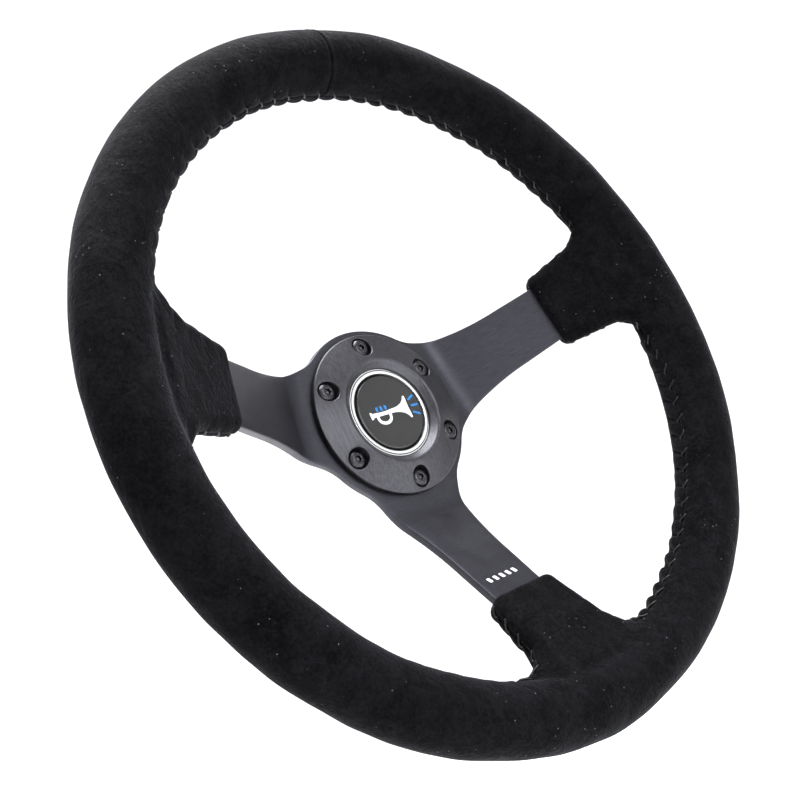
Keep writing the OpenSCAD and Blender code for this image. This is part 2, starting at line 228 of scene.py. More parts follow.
class G:
    """Short forms for shader nodes."""

    def __init__(self, nt):
        self.nt = nt
        self.tc = nt.nodes.new("ShaderNodeTexCoord")

    def put(self, sock, v):
        if isinstance(v, bpy.types.NodeSocket):
            self.nt.links.new(v, sock)
        elif v is not None:
            sock.default_value = v

    def map(self, scale=(1000, 1000, 1000), rot=(0, 0, 0), src=None):
        n = self.nt.nodes.new("ShaderNodeMapping")
        self.put(n.inputs["Vector"], src or self.tc.outputs["Object"])
        n.inputs["Scale"].default_value = scale
        n.inputs["Rotation"].default_value = rot
        return n.outputs[0]

    def noise(self, vec, scale, detail=3.0, rough=0.55, dist=0.0, out="Fac"):
        n = self.nt.nodes.new("ShaderNodeTexNoise")
        self.put(n.inputs["Vector"], vec)
        n.inputs["Scale"].default_value = scale
        n.inputs["Detail"].default_value = detail
        n.inputs["Roughness"].default_value = rough
        n.inputs["Distortion"].default_value = dist
        return n.outputs[out]

    def voro(self, vec, scale, feature="F1", out="Distance", rand=1.0):
        n = self.nt.nodes.new("ShaderNodeTexVoronoi")
        n.feature = feature
        self.put(n.inputs["Vector"], vec)
        n.inputs["Scale"].default_value = scale
        n.inputs["Randomness"].default_value = rand
        return n.outputs[out]

    def ramp(self, v, a, b, lo=0.0, hi=1.0, kind="SMOOTHSTEP"):
        n = self.nt.nodes.new("ShaderNodeMapRange")
        n.interpolation_type = kind
        self.put(n.inputs["Value"], v)
        n.inputs["From Min"].default_value = a
        n.inputs["From Max"].default_value = b
        n.inputs["To Min"].default_value = lo
        n.inputs["To Max"].default_value = hi
        return n.outputs[0]

    def math(self, op, a, b=None, c=None):
        n = self.nt.nodes.new("ShaderNodeMath")
        n.operation = op
        for i, v in enumerate((a, b, c)):
            if v is not None:
                self.put(n.inputs[i], v)
        return n.outputs[0]

    def mix(self, f, a, b, blend="MIX"):
        n = self.nt.nodes.new("ShaderNodeMix")
        n.data_type = "RGBA"
        n.blend_type = blend
        self.put(n.inputs[0], f)
        for i, v in ((6, a), (7, b)):
            if not isinstance(v, bpy.types.NodeSocket):
                v = (*v[:3], 1.0) if hasattr(v, "__len__") else (v, v, v, 1.0)
            self.put(n.inputs[i], v)
        return n.outputs[2]

    def sep(self, v):
        n = self.nt.nodes.new("ShaderNodeSeparateXYZ")
        self.put(n.inputs[0], v)
        return n.outputs

    def bump(self, h, dist, strength=1.0, normal=None):
        n = self.nt.nodes.new("ShaderNodeBump")
        self.put(n.inputs["Height"], h)
        n.inputs["Distance"].default_value = dist
        n.inputs["Strength"].default_value = strength
        if normal is not None:
            self.put(n.inputs["Normal"], normal)
        return n.outputs[0]


def srgb(r, g, b):
    return tuple((x / 255 / 12.92 if x / 255 <= 0.04045 else ((x / 255 + 0.055) / 1.055) ** 2.4) for x in (r, g, b))


def mat_suede():
    m, nt, p = new_mat("suede_nap")
    g = G(nt)
    v = g.map()
    big = g.noise(v, 0.030, 3.0, 0.55, 0.8)       # brushed nap patches, 20-40 mm
    mid = g.noise(v, 0.16, 4.0, 0.62, 0.6)        # finger marks, 5 mm
    nap = g.noise(g.map((980, 940, 1000), (0.4, 0.2, 0.7)), 0.75, 4.0, 0.66, 0.3)   # tufts, 1-2 mm
    fine = g.noise(v, 2.4, 2.0, 0.7)              # fibres, 0.4 mm
    fib = g.noise(g.map((1900, 1450, 1650), (0.5, 0.3, 0.8)), 1.5, 2.0, 0.6)
    a = g.ramp(big, 0.34, 0.68)
    b = g.ramp(mid, 0.32, 0.70)
    d = g.ramp(nap, 0.34, 0.70)
    c = g.ramp(fine, 0.30, 0.72)
    t = g.math("ADD", g.math("MULTIPLY", a, 0.18), g.math("MULTIPLY", b, 0.20))
    t = g.math("ADD", t, g.math("MULTIPLY", d, 0.36))
    t = g.math("ADD", t, g.math("MULTIPLY", c, 0.26))
    col = g.mix(g.ramp(t, 0.15, 0.88), srgb(1, 1, 2), srgb(14, 14, 17))
    lint = g.ramp(g.voro(v, 0.30), 0.035, 0.10, 1.0, 0.0)
    keep = g.ramp(g.noise(v, 0.11, 1.0), 0.52, 0.58)
    col = g.mix(g.math("MULTIPLY", g.math("MULTIPLY", lint, keep), 0.55), col, srgb(140, 142, 148))
    g.put(p.inputs["Base Color"], col)
    g.put(p.inputs["Roughness"], g.ramp(t, 0.1, 0.9, 0.98, 0.86))
    p.inputs["Specular IOR Level"].default_value = 0.05
    p.inputs["Sheen Weight"].default_value = 0.11
    p.inputs["Sheen Roughness"].default_value = 0.24
    p.inputs["Sheen Tint"].default_value = (*srgb(196, 200, 214), 1)
    h = g.math("ADD", g.math("MULTIPLY", c, 0.6), g.math("MULTIPLY", fib, 0.4))
    n = g.bump(h, 0.00020, 0.4)
    n = g.bump(d, 0.00022, 0.35, n)
    g.put(p.inputs["Normal"], g.bump(b, 0.0008, 0.3, n))
    return m


def mat_thread():
    m, nt, p = new_mat("lacing_thread")
    g = G(nt)
    v = g.map()
    f = g.noise(v, 4.0, 2.0, 0.6)
    g.put(p.inputs["Base Color"], g.mix(g.ramp(f, 0.3, 0.7), srgb(3, 3, 4), srgb(9, 9, 10)))
    g.put(p.inputs["Roughness"], g.ramp(f, 0.3, 0.7, 0.30, 0.45))
    p.inputs["Specular IOR Level"].default_value = 0.32
    g.put(p.inputs["Normal"], g.bump(g.noise(g.map((6000, 6000, 6000)), 1.0, 2.0), 0.00006, 0.6))
    return m


def mat_spoke():
    """Black anodised aluminium, finely brushed, with a soft satin."""
    m, nt, p = new_mat("black_anodised_plate")
    g = G(nt)
    v = g.map()
    o = g.sep(g.tc.outputs["Object"])
    streak = g.noise(g.map((180, 180, 5200), (0, 0, 0)), 1.0, 3.0, 0.6)
    grain = g.noise(v, 5.5, 2.0, 0.6)
    hand = g.noise(v, 0.06, 3.0, 0.5)
    t = g.math("ADD", g.math("MULTIPLY", streak, 0.5), g.math("MULTIPLY", grain, 0.5))
    g.put(p.inputs["Base Color"], g.mix(g.ramp(t, 0.35, 0.65), srgb(40, 40, 45), srgb(59, 59, 66)))
    p.inputs["Metallic"].default_value = 0.85
    r = g.math("ADD", g.ramp(t, 0.3, 0.7, 0.34, 0.44), g.ramp(hand, 0.35, 0.7, -0.03, 0.05))
    g.put(p.inputs["Roughness"], r)
    g.put(p.inputs["Normal"], g.bump(t, 0.00006, 0.6))
    return m


def mat_ring():
    """Black anodised ring with straight vertical brushing."""
    m, nt, p = new_mat("brushed_black_ring")
    g = G(nt)
    fine = g.noise(g.map((9000, 9000, 260)), 1.0, 2.0, 0.6)
    wide = g.noise(g.map((1500, 1500, 60)), 1.0, 3.0, 0.6)
    t = g.math("ADD", g.math("MULTIPLY", fine, 0.6), g.math("MULTIPLY", wide, 0.4))
    g.put(p.inputs["Base Color"], g.mix(g.ramp(t, 0.32, 0.68), srgb(49, 49, 53), srgb(80, 80, 85)))
    p.inputs["Metallic"].default_value = 0.9
    g.put(p.inputs["Roughness"], g.ramp(t, 0.3, 0.7, 0.30, 0.42))
    p.inputs["Anisotropic"].default_value = 0.55
    g.put(p.inputs["Normal"], g.bump(t, 0.00004, 0.5))
    return m


def mat_metal(name, dark, light, rough, metallic=1.0, scale=2.0, bump=0.00002, spec=None):
    m, nt, p = new_mat(name)
    g = G(nt)
    v = g.map()
    f = g.noise(v, scale, 3.0, 0.6)
    w = g.noise(v, 0.12, 3.0, 0.55)
    t = g.math("ADD", g.math("MULTIPLY", f, 0.6), g.math("MULTIPLY", w, 0.4))
    g.put(p.inputs["Base Color"], g.mix(g.ramp(t, 0.35, 0.65), dark, light))
    g.put(p.inputs["Roughness"], g.ramp(t, 0.35, 0.65, rough[0], rough[1]))
    p.inputs["Metallic"].default_value = metallic
    if spec is not None:
        p.inputs["Specular IOR Level"].default_value = spec
    g.put(p.inputs["Normal"], g.bump(f, bump, 0.6))
    return m


def mat_foam():
    m, nt, p = new_mat("moulded_foam")
    g = G(nt)
    v = g.map()
    f = g.voro(v, 1.6)
    w = g.noise(v, 0.3, 3.0)
    g.put(p.inputs["Base Color"], g.mix(g.ramp(w, 0.35, 0.65), (0.03, 0.03, 0.03), (0.06, 0.06, 0.058)))
    p.inputs["Roughness"].default_value = 0.95
    g.put(p.inputs["Normal"], g.bump(f, 0.0003, 0.5))
    return m


SUEDE = mat_suede()
THREAD = mat_thread()
SPOKE = mat_spoke()
RING = mat_ring()
FOAM = mat_foam()
# painted shade: a near-black, barely metallic finish for the chrome trim ring's groove, inner edge and outer side, so
# they show as dark lines in the chrome
CHROME_PAINTED_SHADE = mat_metal("chrome_painted_shade", srgb(12, 12, 13), srgb(22, 22, 24), (0.30, 0.42), 0.2, 3.0)
# painted shade: a darker copy of the ring's anodised finish, standing in for the shade on the ring's side wall, back
# and counterbore floors
RING_PAINTED_SHADE = mat_metal("ring_painted_shade", srgb(26, 26, 29), srgb(36, 36, 40), (0.34, 0.44), 0.85, 3.0)
SCREW = mat_metal("black_oxide_screw", srgb(40, 40, 43), srgb(66, 66, 70), (0.22, 0.36), 0.9, 3.0)
CHROME = mat_metal("chrome", (0.80, 0.81, 0.83), (0.86, 0.87, 0.88), (0.045, 0.075), 1.0, 1.2, 0.000004)
GLOSS = mat_metal("gloss_black_cap", (0.010, 0.010, 0.011), (0.013, 0.013, 0.014), (0.08, 0.12), 0.0, 0.8, 0.000003, 0.5)
PLASTIC = mat_metal("black_plastic", (0.012, 0.012, 0.012), (0.020, 0.020, 0.020), (0.42, 0.58), 0.0, 2.5, 0.00004, 0.4)
RUBBER = mat_metal("black_rubber", (0.010, 0.010, 0.010), (0.016, 0.016, 0.016), (0.60, 0.75), 0.0, 2.5, 0.00004, 0.35)
BRASS = mat_metal("brass", (0.60, 0.43, 0.17), (0.74, 0.55, 0.25), (0.24, 0.36), 1.0, 3.0)
STEEL = mat_metal("bright_steel", (0.46, 0.46, 0.48), (0.60, 0.60, 0.62), (0.22, 0.34), 1.0, 3.0)
HOOP = mat_metal("primed_hoop", (0.10, 0.10, 0.105), (0.15, 0.15, 0.155), (0.40, 0.55), 0.6, 1.5)
BOARD = mat_metal("brown_board", srgb(70, 38, 20), srgb(96, 56, 30), (0.40, 0.55), 0.0, 1.5, 0.00003, 0.45)
WHITE_INK = mat_metal("white_print", srgb(196, 198, 202), srgb(214, 216, 220), (0.30, 0.42), 0.0, 1.5, 0.000002, 0.4)
BLUE_INK = mat_metal("blue_print", srgb(20, 96, 156), srgb(28, 112, 176), (0.30, 0.42), 0.0, 1.5, 0.000002, 0.4)


# ------------------------------------------------------------------ grip shape
COSB, SINB, TANB = math.cos(BEND), math.sin(BEND), math.tan(BEND)
YM0 = -(PLATE_T + BEND_R) + (BEND_R + PLATE_T / 2) / COSB
CUT_S = 104.1


def y_mid(s):
    """Middle plane of the bent part of a spoke."""
    return YM0 - (s - BEND_S) * TANB


def step(x, a, b):
    t = np.clip((x - a) / (b - a), 0, 1)
    return t * t * (3 - 2 * t)


def length2(a, b):
    return np.sqrt(np.maximum(a, 0) ** 2 + np.maximum(b, 0) ** 2)


def round_union(a, b, r):
    return np.maximum(r, np.minimum(a, b)) - length2(r - a, r - b)


def round_cut(a, b, r):
    return np.minimum(-r, np.maximum(a, b)) + length2(a + r, b + r)


def boot_field(p, ang):
    c, s = math.cos(ang), math.sin(ang)
    u, w, y = p[..., 0] * c + p[..., 2] * s, np.abs(-p[..., 0] * s + p[..., 2] * c), p[..., 1]
    n = (y - y_mid(u)) * COSB
    t = (u - CUT_S) * COSB - (y - y_mid(CUT_S)) * SINB
    e = CUT_S + t * COSB
    line = (w - (20.0 + 0.17 * (e - 106.0))) * 0.985
    flare = 14.0 - np.sqrt((e - 124.0) ** 2 + (w - 37.0) ** 2)
    plan = np.where(e < 124.0, line, np.maximum(flare, w - 40.0))
    half = 6.7 - 3.9 * step(w, 22.0, 39.0)
    r = 0.86 * half
    qx, qy = plan + r, np.abs(n) - half + r
    d = length2(qx, qy) + np.minimum(np.maximum(qx, qy), 0) - r
    d = round_cut(d, -t, 3.6)
    return round_cut(d, e - 148.5, 4.0), n


def grip_field(p):
    rho = np.sqrt(p[..., 0] ** 2 + p[..., 2] ** 2)
    torus = np.sqrt((rho - RING_MID) ** 2 + (p[..., 1] + DISH) ** 2) - GRIP_R
    d = torus
    for a in SPOKES:
        b, n = boot_field(p, a)
        d = np.minimum(d, round_union(torus, b, 2.2 + 3.6 * step(n, -4.0, 3.0)))
    return d


def field_normal(f, p, e=0.05):
    g = np.empty_like(p)
    for k in range(3):
        o = np.zeros(3)
        o[k] = e
        g[:, k] = (f(p + o) - f(p - o)) / (2 * e)
    m = np.linalg.norm(g, axis=1)[:, None]
    return g / np.maximum(m, 1e-9), m[:, 0]


def onto(f, p, times=3):
    for _ in range(times):
        n, m = field_normal(f, p)
        p = p - n * np.clip(f(p) / np.maximum(m, 0.4), -1.5, 1.5)[:, None]
    return p


def surface(f, lo, hi, h):
    """Quads on the zero level of f: one point in each crossed cell of a grid."""
    ax = [np.arange(lo[k], hi[k] + h, h) for k in range(3)]
    F = np.empty([len(a) for a in ax], np.float32)
    for i, x in enumerate(ax[0]):
        g = np.stack(np.broadcast_arrays(x, ax[1][:, None], ax[2][None, :]), -1)
        F[i] = f(g)
    neg = F < 0
    shape = [len(a) - 1 for a in ax]
    tot = np.zeros(shape, np.int8)
    for i in (0, 1):
        for j in (0, 1):
            for k in (0, 1):
                tot += neg[i:i + shape[0], j:j + shape[1], k:k + shape[2]]
    act = (tot > 0) & (tot < 8)
    idx = -np.ones(shape, np.int64)
    cells = np.argwhere(act)
    idx[act] = np.arange(len(cells))
    pos, cnt = np.zeros((len(cells), 3)), np.zeros(len(cells))
    corners = [(i, j, k) for i in (0, 1) for j in (0, 1) for k in (0, 1)]
    for a in corners:
        for d in range(3):
            if a[d]:
                continue
            b = list(a)
            b[d] = 1
            fa, fb = F[tuple((cells + a).T)], F[tuple((cells + b).T)]
            x = (fa < 0) != (fb < 0)
            t = np.where(x, fa / np.where(x, fa - fb, 1), 0)
            q = cells + np.array(a, float)
            q[:, d] += t
            pos[x] += q[x]
            cnt[x] += 1
    pos /= cnt[:, None]
    verts = pos * h + np.array([a[0] for a in ax])
    faces = []
    for d in range(3):
        sl0 = [slice(None)] * 3
        sl1 = [slice(None)] * 3
        sl0[d], sl1[d] = slice(0, -1), slice(1, None)
        ch = np.argwhere(neg[tuple(sl0)] != neg[tuple(sl1)])
        u, v = (d + 1) % 3, (d + 2) % 3
        ok = (ch[:, u] > 0) & (ch[:, v] > 0)
        ch = ch[ok]
        first = neg[tuple(ch.T)]
        q = []
        for du, dv in ((-1, -1), (0, -1), (0, 0), (-1, 0)):
            c = ch.copy()
            c[:, u] += du
            c[:, v] += dv
            q.append(idx[tuple(c.T)])
        q = np.stack(q, 1)
        q[~first] = q[~first][:, ::-1]
        faces.append(q)
    return verts, np.concatenate(faces)


def relax(f, v, faces, times=4):
    """Evens out the points of a quad net while it stays on the surface."""
    a = np.concatenate([faces[:, k] for k in range(4)])
    b = np.concatenate([faces[:, (k + 1) % 4] for k in range(4)])
    deg = np.bincount(a, minlength=len(v)) + np.bincount(b, minlength=len(v))
    for _ in range(times):
        s = np.stack([np.bincount(a, v[b, k], len(v)) + np.bincount(b, v[a, k], len(v)) for k in range(3)], 1)
        v = onto(f, v * 0.35 + 0.65 * s / deg[:, None], 1)
    return onto(f, v, 2)


def split_quads(verts, polys, pick):
    """Splits the picked quads in four; their neighbours take the new edge points."""
    verts = list(map(tuple, verts))
    mids = {}

    def mid(a, b):
        key = (a, b) if a < b else (b, a)
        if key not in mids:
            mids[key] = len(verts)
            p, q = verts[a], verts[b]
            verts.append(((p[0] + q[0]) / 2, (p[1] + q[1]) / 2, (p[2] + q[2]) / 2))
        return mids[key]

    out = []
    for f, k in zip(polys, pick):
        if k and len(f) == 4:
            a, b, c, d = f
            ab, bc, cd, da = mid(a, b), mid(b, c), mid(c, d), mid(d, a)
            verts.append(tuple((verts[a][i] + verts[b][i] + verts[c][i] + verts[d][i]) / 4 for i in range(3)))
            m = len(verts) - 1
            out += [(a, ab, m, da), (ab, b, bc, m), (m, bc, c, cd), (da, m, cd, d)]
    done = []
    for f, k in zip(polys, pick):
        if k and len(f) == 4:
            continue
        g = []
        for i, a in enumerate(f):
            b = f[(i + 1) % len(f)]
            g.append(a)
            key = (a, b) if a < b else (b, a)
            if key in mids:
                g.append(mids[key])
        done.append(tuple(g))
    return np.array(verts), out + done


# ------------------------------------------------------------------ seam line
def seam_paths():
    """For each opening between two spokes: the lacing's line, from one boot's cloth edge to the next."""
    paths = []
    for k in range(3):
        a, b = SPOKES[(k + 2) % 3], SPOKES[k]
        if k == 0:
            a -= 2 * PI
        side = [(s, 20.0 + 0.17 * (s - 106.0)) for s in np.linspace(104.6, 124.0, 20)]
        ends = [(124 + 14 * math.cos(t), 37 + 14 * math.sin(t)) for t in np.linspace(-PI / 2, math.radians(16.6), 30)][1:]
        side += ends
        y = [y_mid(s) for s, _ in side]
        ya, yb = ((-61.2, -57.5), (-56.0, -64.0), (-59.5, -60.0))[k]
        yf = [v + (ya - v) * step(np.array(float(i)), 22.0, len(side) - 1.0) for i, v in enumerate(y)]
        yr = [v + (yb - v) * step(np.array(float(i)), 22.0, len(side) - 1.0) for i, v in enumerate(y)]
        fwd = [(s * math.cos(a) - w * math.sin(a), yy, s * math.sin(a) + w * math.cos(a)) for (s, w), yy in zip(side, yf)]
        rev = [(s * math.cos(b) + w * math.sin(b), yy, s * math.sin(b) - w * math.cos(b)) for (s, w), yy in zip(side, yr)][::-1]
        t0, t1 = math.atan2(fwd[-1][2], fwd[-1][0]), math.atan2(rev[0][2], rev[0][0])
        while t1 < t0:
            t1 += 2 * PI
        at = np.linspace(t0, t1, 260)[1:-1]
        blend = step(at, t0 + (t1 - t0) * (0.36 if k == 1 else 0.45), t0 + (t1 - t0) * (0.78 if k == 1 else 1.0))
        if k == 0:
            blend = step(at, t0 + (t1 - t0) * 0.86, t1)
        arc = [(RIM_IN * math.cos(t), ya + (yb - ya) * float(q), RIM_IN * math.sin(t)) for t, q in zip(at, blend)]
        p = onto(grip_field, np.array(fwd + arc + rev), 4)
        l = np.concatenate([[0], np.cumsum(np.linalg.norm(np.diff(p, axis=0), axis=1))])
        q = np.linspace(0, l[-1], int(l[-1] / 0.5))
        p = np.stack([np.interp(q, l, p[:, i]) for i in range(3)], 1)
        for _ in range(6):
            p[1:-1] = p[1:-1] * 0.5 + 0.25 * (p[:-2] + p[2:])
        p = onto(grip_field, p, 2)
        t = np.gradient(p, axis=0)
        t /= np.linalg.norm(t, axis=1)[:, None]
        n, _ = field_normal(grip_field, p)
        bn = np.cross(n, t)
        bn /= np.linalg.norm(bn, axis=1)[:, None]
        bn *= np.where(bn[:, 1] > 0, -1.0, 1.0)[:, None]
        paths.append({"p": p, "l": q, "t": t, "n": n, "b": bn})
    return paths


PATHS = seam_paths()
PITCH = 9.7
STITCHES = []
gen = np.random.default_rng(11)
for i, path in enumerate(PATHS):
    L = path["l"][-1]
    n = int(round((L - 6.0) / PITCH))
    for k in range(n + 1):
        at = 3.0 + (L - 6.0) * k / n + gen.uniform(-0.5, 0.5)
        STITCHES.append({"path": i, "l": at, "amp": gen.uniform(0.65, 1.35), "tilt": gen.uniform(-6, 6), "len": gen.uniform(0.9, 1.12), "tail": gen.uniform(3.0, 6.0)})

WAVES = [(gen.normal(size=3), gen.uniform(0, 2 * PI)) for _ in range(14)]


def lumps(p, wave, amp):
    """A smooth, uneven swell of about that wavelength."""
    s = np.zeros(len(p))
    for k, (d, ph) in enumerate(WAVES):
        u = d / np.linalg.norm(d)
        s += np.sin((p @ u) * 2 * PI / (wave * (0.7 + 0.06 * k)) + ph + k)
    return amp * s / math.sqrt(len(WAVES) / 2)


def seam_tree():
    pts = [(i, j) for i, q in enumerate(PATHS) for j in range(len(q["p"]))]
    tree = kdtree.KDTree(len(pts))
    for n, (i, j) in enumerate(pts):
        tree.insert(PATHS[i]["p"][j], n)
    tree.balance()
    return tree, pts


TREE, TREE_PTS = seam_tree()


def near_seam(v, reach):
    """Distance from each point to the lacing's line, with path and place on it; far points get inf."""
    d = np.full(len(v), np.inf)
    who = np.zeros((len(v), 2), int)
    rho = np.hypot(v[:, 0], v[:, 2])
    for i in np.nonzero((rho < RIM_IN + reach) & (v[:, 1] > -61.2 - reach * 1.3))[0]:
        _, n, dist = TREE.find(v[i])
        if dist < reach:
            d[i] = dist
            who[i] = TREE_PTS[n]
    return d, who


def quilting(v):
    """How far each point of the suede is pushed out by the lacing's pull, the cross seam and the swell of the foam."""
    out = lumps(v, 46.0, 0.16) + lumps(v + 31.0, 17.0, 0.07)
    x = np.abs(v[:, 0])
    top = v[:, 2] > 0
    fade = np.where(top, 1.0, 0.0)
    out += fade * (-1.15 * np.exp(-((x / 0.42) ** 2)) + 0.26 * np.exp(-(((x - 1.4) / 0.8) ** 2)))
    d, who = near_seam(v, 14.5)
    byp = [np.array([s["l"] for s in STITCHES if s["path"] == i]) for i in range(3)]
    sts = [[s for s in STITCHES if s["path"] == i] for i in range(3)]
    for i in range(3):
        m = np.nonzero(np.isfinite(d) & (who[:, 0] == i))[0]
        if not len(m):
            continue
        P = PATHS[i]
        j = who[m, 1]
        rel = v[m] - P["p"][j]
        a = np.einsum("ij,ij->i", rel, P["t"][j])
        l = P["l"][j] + a
        y = np.einsum("ij,ij->i", rel, P["b"][j])
        k = np.clip(np.searchsorted(byp[i], l), 1, len(byp[i]) - 1)
        g = np.zeros(len(m))
        L = P["l"][-1]
        endf = step(np.minimum(l, L - l), -0.5, 3.0)
        g += endf * (-0.45 * np.exp(-((y / 0.7) ** 2)) + 0.10 * np.exp(-(((np.abs(y) - 3.4) / 1.9) ** 2)))
        # gathers: a sharp notch that runs off from each stitch's lower end, and a round puff between two notches
        lo_, hi_ = byp[i][k - 1], byp[i][k]
        amp2 = np.array([sts[i][q]["amp"] for q in k - 1]), np.array([sts[i][q]["amp"] for q in k])
        back = y < 0
        slope = (-0.60, 0.62, 0.40)[i]
        shift = np.where(back, -1.1 + slope * y, 1.1 + slope * y)
        ph = np.clip((l - shift - lo_) / np.maximum(hi_ - lo_, 1.0), -0.5, 1.5)
        ph = ph - np.floor(ph)
        q_ = np.abs(np.sin(PI * ph))
        am = np.where(ph < 0.5, amp2[0], amp2[1])
        rim = step(np.minimum(l, L - l), 12.0 if i == 0 else 26.0, 24.0 if i == 0 else 42.0)
        tight = 1.0 + (0.45 * (1 - step(l, 95.0, 130.0)) if i == 0 else 0.0) - (0.40 if i == 1 else 0.0)
        ahead = 0.10 + (0.62 * step(l, L * 0.52, L * 0.68) if i == 1 else 0.0)
        reach = np.where(back, step(-y, 0.8, 4.5) * (1 - step(-y, 7.5, 13.0)), ahead * step(y, -0.6, 1.5) * (1 - step(y, 4.5, 9.5)))
        g += endf * tight * (0.25 + 0.75 * rim) * reach * (-1.75 * am * (1 - q_) ** 1.6 + 0.75 * q_)
        for kk in (k - 1, k):
            st = [sts[i][q] for q in kk]
            amp = np.array([s["amp"] for s in st])
            tail = np.array([s["tail"] for s in st])
            x1 = l - byp[i][kk]
            g += endf * amp * (-0.55) * np.exp(-((x1 - y * 1.1) / 1.3) ** 2) * np.exp(-((y / 2.0) ** 2))
            for sg in (1.0, -1.0):
                dx, dy = 0.42 * sg, 0.907 * sg
                ux, uy = x1 - 1.7 * sg, y - 1.3 * sg
                al, ac = ux * dx + uy * dy, -ux * dy + uy * dx
                win = step(al, -0.8, 0.6) * (1 - step(al, tail * 0.5, tail * (1.25 if sg > 0 else 1.5)))
                g += endf * amp * (-0.26) * np.exp(-((ac / 0.7) ** 2)) * win
        out[m] += g
    return out


def build_grip():
    h = 1.45
    lo, hi = (-178, -79, -178), (178, -26, 178)
    v, f = surface(grip_field, lo, hi, h)
    v = relax(grip_field, v, f)
    polys = [tuple(x) for x in f.tolist()]
    for band in (11.5, 2.2):
        cen = np.array([v[list(x)].mean(0) for x in polys])
        d, _ = near_seam(cen, band)
        v, polys = split_quads(v, polys, np.isfinite(d))
    bm = bmesh.new()
    vs = [bm.verts.new(x) for x in v]
    for x in polys:
        bm.faces.new([vs[i] for i in x])
    for x in (-2.4, -1.5, -0.8, -0.5, -0.25, 0.0, 0.25, 0.5, 0.8, 1.5, 2.4):
        near = [q for q in bm.faces if abs(q.calc_center_median().x) < 5 and q.calc_center_median().z > 100]
        geom = list({e for q in near for e in q.edges}) + list({w for q in near for w in q.verts}) + near
        bmesh.ops.bisect_plane(bm, geom=geom, dist=0.04, plane_co=(x, 0, 0), plane_no=(1, 0, 0))
    bm.verts.index_update()
    v = np.array([q.co for q in bm.verts])
    polys = [[w.index for w in q.verts] for q in bm.faces]
    bm.free()
    v = onto(grip_field, v, 2)
    n, _ = field_normal(grip_field, v)
    v = v + n * quilting(v)[:, None]
    ob = make("suede_grip", v, polys, SUEDE, sharp=180, node="suede_cover", slot="suede", fix=False)

    core = lambda p: grip_field(p) + 2.9
    v, f = surface(core, lo, hi, 3.2)
    v = relax(core, v, f, 3)
    v = v + field_normal(core, v)[0] * lumps(v, 9.0, 0.05)[:, None]
    ob = make("foam_core", v, f.tolist(), FOAM, sharp=180, node=["rim_foam", "boot_pads"], slot="foam", fix=False)


build_grip()


# ------------------------------------------------------------------ lacing
def thread(path, st):
    """One stitch of three-ply thread: up through the suede, across the seam in an S, and down again."""
    P = PATHS[path]
    j = int(np.clip(np.searchsorted(P["l"], st["l"]), 0, len(P["l"]) - 1))
    o, t, n, b = P["p"][j], P["t"][j], P["n"][j], P["b"][j]
    tau = np.linspace(-1, 1, 25)
    a = math.radians(st["tilt"])
    x = 2.35 * st["len"] * tau
    y = 1.55 * st["len"] * np.sin(tau * PI / 2) + 0.25 * np.sin(tau * PI)
    x, y = x * math.cos(a) - y * math.sin(a), x * math.sin(a) + y * math.cos(a)
    z = -0.55 + 0.62 * (1 - np.abs(tau) ** 2.6)
    z = z - 1.5 * np.clip(np.abs(tau) - 0.82, 0, 1) / 0.18 * 0.7
    c = o + x[:, None] * t + y[:, None] * b
    q = onto(grip_field, c.copy(), 2)
    c = q + z[:, None] * n
    d = np.gradient(c, axis=0)
    d /= np.linalg.norm(d, axis=1)[:, None]
    e1 = np.cross(d, n)
    e1 /= np.linalg.norm(e1, axis=1)[:, None]
    e2 = np.cross(e1, d)
    s = np.concatenate([[0], np.cumsum(np.linalg.norm(np.diff(c, axis=0), axis=1))])
    m = 12
    verts, faces = [], []
    for i in range(len(c)):
        for k in range(m):
            ph = 2 * PI * k / m
            r = 0.36 * (1 + 0.16 * math.cos(3 * (ph - s[i] * 1.9)))
            verts.append(c[i] + r * (math.cos(ph) * e1[i] + math.sin(ph) * e2[i]))
        if i:
            p, q2 = (i - 1) * m, i * m
            faces += [[p + k, p + (k + 1) % m, q2 + (k + 1) % m, q2 + k] for k in range(m)]
    faces.append(list(range(m))[::-1])
    faces.append([(len(c) - 1) * m + k for k in range(m)])
    return np.array(verts), faces


make("lacing", *join([thread(s["path"], s) for s in STITCHES]), THREAD, sharp=50, node="seam_thread", slot="thread")


